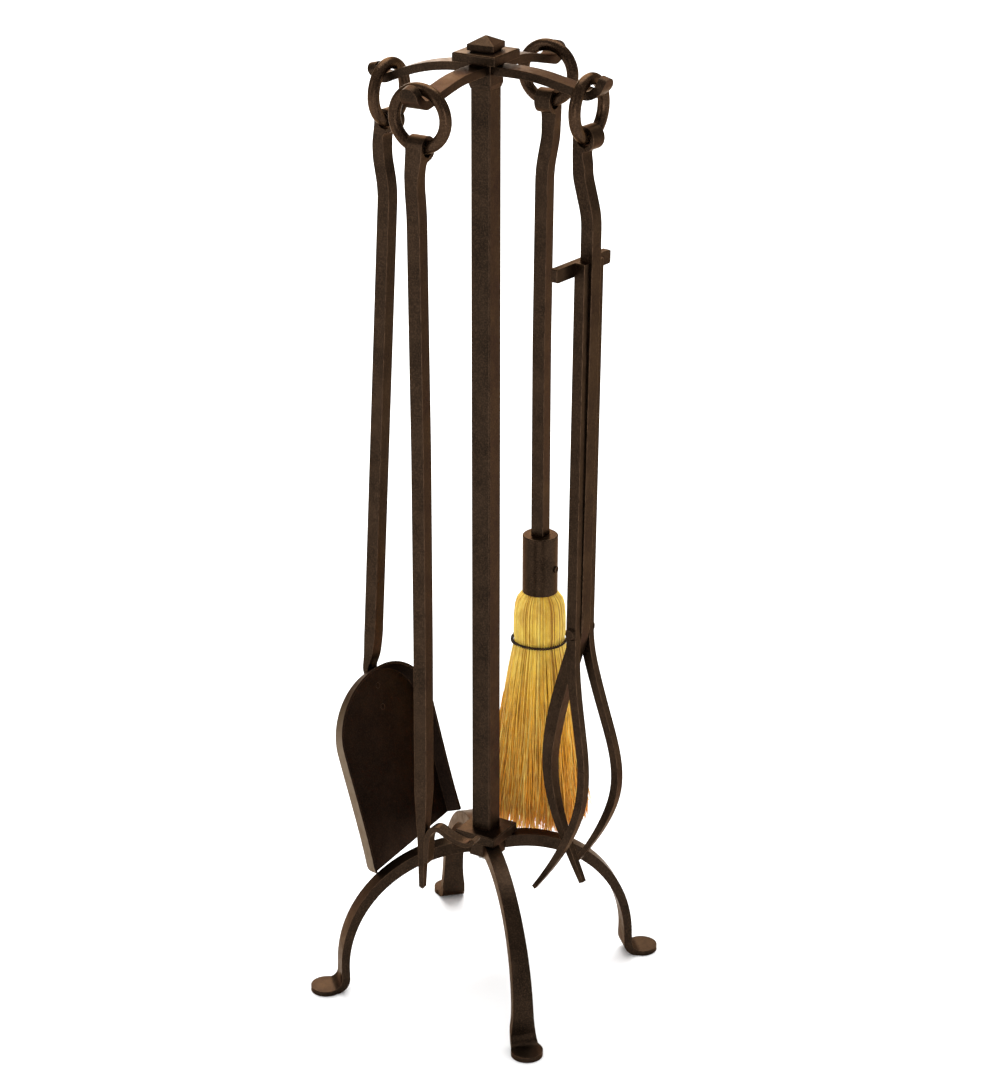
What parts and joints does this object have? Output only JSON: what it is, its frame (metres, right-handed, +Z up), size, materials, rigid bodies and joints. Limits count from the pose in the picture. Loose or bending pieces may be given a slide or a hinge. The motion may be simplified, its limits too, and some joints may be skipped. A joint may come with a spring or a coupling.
{
  "type": "fireplace tool set",
  "caption": "Forged stand on arched legs that carries a poker, shovel, broom and tongs, each hung from an arm by a round ring.",
  "frame": {"origin": "on the floor, on the axis of the post", "axes": "+Z up the post, +X along the tongs arm, +Y along the broom arm"},
  "size_m": [0.2336, 0.243, 0.813],
  "materials": {
    "post": "hand-forged surface under a dark bronze coating",
    "top_block": "hand-forged surface under a dark bronze coating",
    "cap_plate": "hand-forged surface under a dark bronze coating",
    "finial": "hand-forged surface under a dark bronze coating",
    "finial_stud": "plain zinc-plated steel",
    "base_plate": "hand-forged surface under a dark bronze coating",
    "base_block": "hand-forged surface under a dark bronze coating",
    "base_bolt": "plain zinc-plated steel",
    "base_washer": "plain zinc-plated steel",
    "leg_front": "hand-forged surface under a dark bronze coating",
    "leg_right": "hand-forged surface under a dark bronze coating",
    "leg_back": "hand-forged surface under a dark bronze coating",
    "leg_left": "hand-forged surface under a dark bronze coating",
    "tongs_arm": "hand-forged surface under a dark bronze coating",
    "broom_arm": "hand-forged surface under a dark bronze coating",
    "shovel_arm": "hand-forged surface under a dark bronze coating",
    "poker_arm": "hand-forged surface under a dark bronze coating",
    "tongs_ring": "hand-forged surface under a dark bronze coating",
    "tongs_main_bar": "hand-forged surface under a dark bronze coating",
    "tongs_lever_front": "hand-forged surface under a dark bronze coating",
    "tongs_lever_rear": "hand-forged surface under a dark bronze coating",
    "tongs_crossbar": "hand-forged surface under a dark bronze coating",
    "tongs_rivet": "hand-forged surface under a dark bronze coating",
    "broom_ring": "hand-forged surface under a dark bronze coating",
    "broom_shaft": "hand-forged surface under a dark bronze coating",
    "broom_ferrule": "hand-forged surface under a dark bronze coating",
    "broom_set_screw": "hand-forged surface under a dark bronze coating",
    "broom_straw": "dry broomcorn straw",
    "broom_twine": "dark twisted binding",
    "shovel_ring": "hand-forged surface under a dark bronze coating",
    "shovel_shaft": "hand-forged surface under a dark bronze coating",
    "shovel_pan": "dark bronze coating, near black inside",
    "shovel_rivets": "hand-forged surface under a dark bronze coating",
    "poker_ring": "hand-forged surface under a dark bronze coating",
    "poker_shaft": "hand-forged surface under a dark bronze coating",
    "poker_hook": "hand-forged surface under a dark bronze coating"
  },
  "bodies": {
    "stand": {"post": "post", "top_block": "top_block", "cap_plate": "cap_plate", "finial": "finial", "finial_stud": "finial_stud", "base_plate": "base_plate", "base_block": "base_block", "base_bolt": "base_bolt", "base_washer": "base_washer", "leg_front": "leg_front", "leg_right": "leg_right", "leg_back": "leg_back", "leg_left": "leg_left", "tongs_arm": "tongs_arm", "broom_arm": "broom_arm", "shovel_arm": "shovel_arm", "poker_arm": "poker_arm"},
    "tongs_hanger": {"tongs_ring": "tongs_ring"},
    "tongs": {"tongs_main_bar": "tongs_main_bar"},
    "tongs_lever": {"tongs_lever_front": "tongs_lever_front", "tongs_lever_rear": "tongs_lever_rear", "tongs_crossbar": "tongs_crossbar", "tongs_rivet": "tongs_rivet"},
    "broom_hanger": {"broom_ring": "broom_ring"},
    "broom": {"broom_shaft": "broom_shaft", "broom_ferrule": "broom_ferrule", "broom_set_screw": "broom_set_screw", "broom_bristles": "broom_straw", "broom_twine": "broom_twine"},
    "shovel_hanger": {"shovel_ring": "shovel_ring"},
    "shovel": {"shovel_shaft": "shovel_shaft", "shovel_pan": "shovel_pan", "shovel_rivets": "shovel_rivets"},
    "poker_hanger": {"poker_ring": "poker_ring"},
    "poker": {"poker_shaft": "poker_shaft", "poker_hook": "poker_hook"}
  },
  "joints": [
    {"name": "tongs_lift", "type": "slide", "parent": "stand", "child": "tongs_hanger", "axis": [0.6293, 0, 0.7771], "range_m": [0, 0.16]},
    {"name": "tongs_swing", "type": "hinge", "parent": "tongs_hanger", "child": "tongs", "pos_m": [0.09, 0, 0.74625], "axis": [-0.1219, -0.9925, 0], "range_deg": [-2, 30]},
    {"name": "broom_lift", "type": "slide", "parent": "stand", "child": "broom_hanger", "axis": [0, 0.6293, 0.7771], "range_m": [0, 0.16]},
    {"name": "broom_swing", "type": "hinge", "parent": "broom_hanger", "child": "broom", "pos_m": [0, 0.0945, 0.74275], "axis": [1, 0, 0], "range_deg": [-0.4, 30]},
    {"name": "shovel_lift", "type": "slide", "parent": "stand", "child": "shovel_hanger", "axis": [-0.6293, 0, 0.7771], "range_m": [0, 0.16]},
    {"name": "shovel_swing", "type": "hinge", "parent": "shovel_hanger", "child": "shovel", "pos_m": [-0.0878, 0, 0.73625], "axis": [0.0872, 0.9962, 0], "range_deg": [0, 30]},
    {"name": "poker_lift", "type": "slide", "parent": "stand", "child": "poker_hanger", "axis": [0, -0.6293, 0.7771], "range_m": [0, 0.16]},
    {"name": "poker_swing", "type": "hinge", "parent": "poker_hanger", "child": "poker", "pos_m": [0, -0.0939, 0.74725], "axis": [-1, 0, 0], "range_deg": [-2, 30]},
    {"name": "tongs_open", "type": "hinge", "parent": "tongs", "child": "tongs_lever", "pos_m": [0.08821, 0.00022, 0.34125], "axis": [-0.1219, -0.9925, 0], "range_deg": [0, 10]}
  ]
}
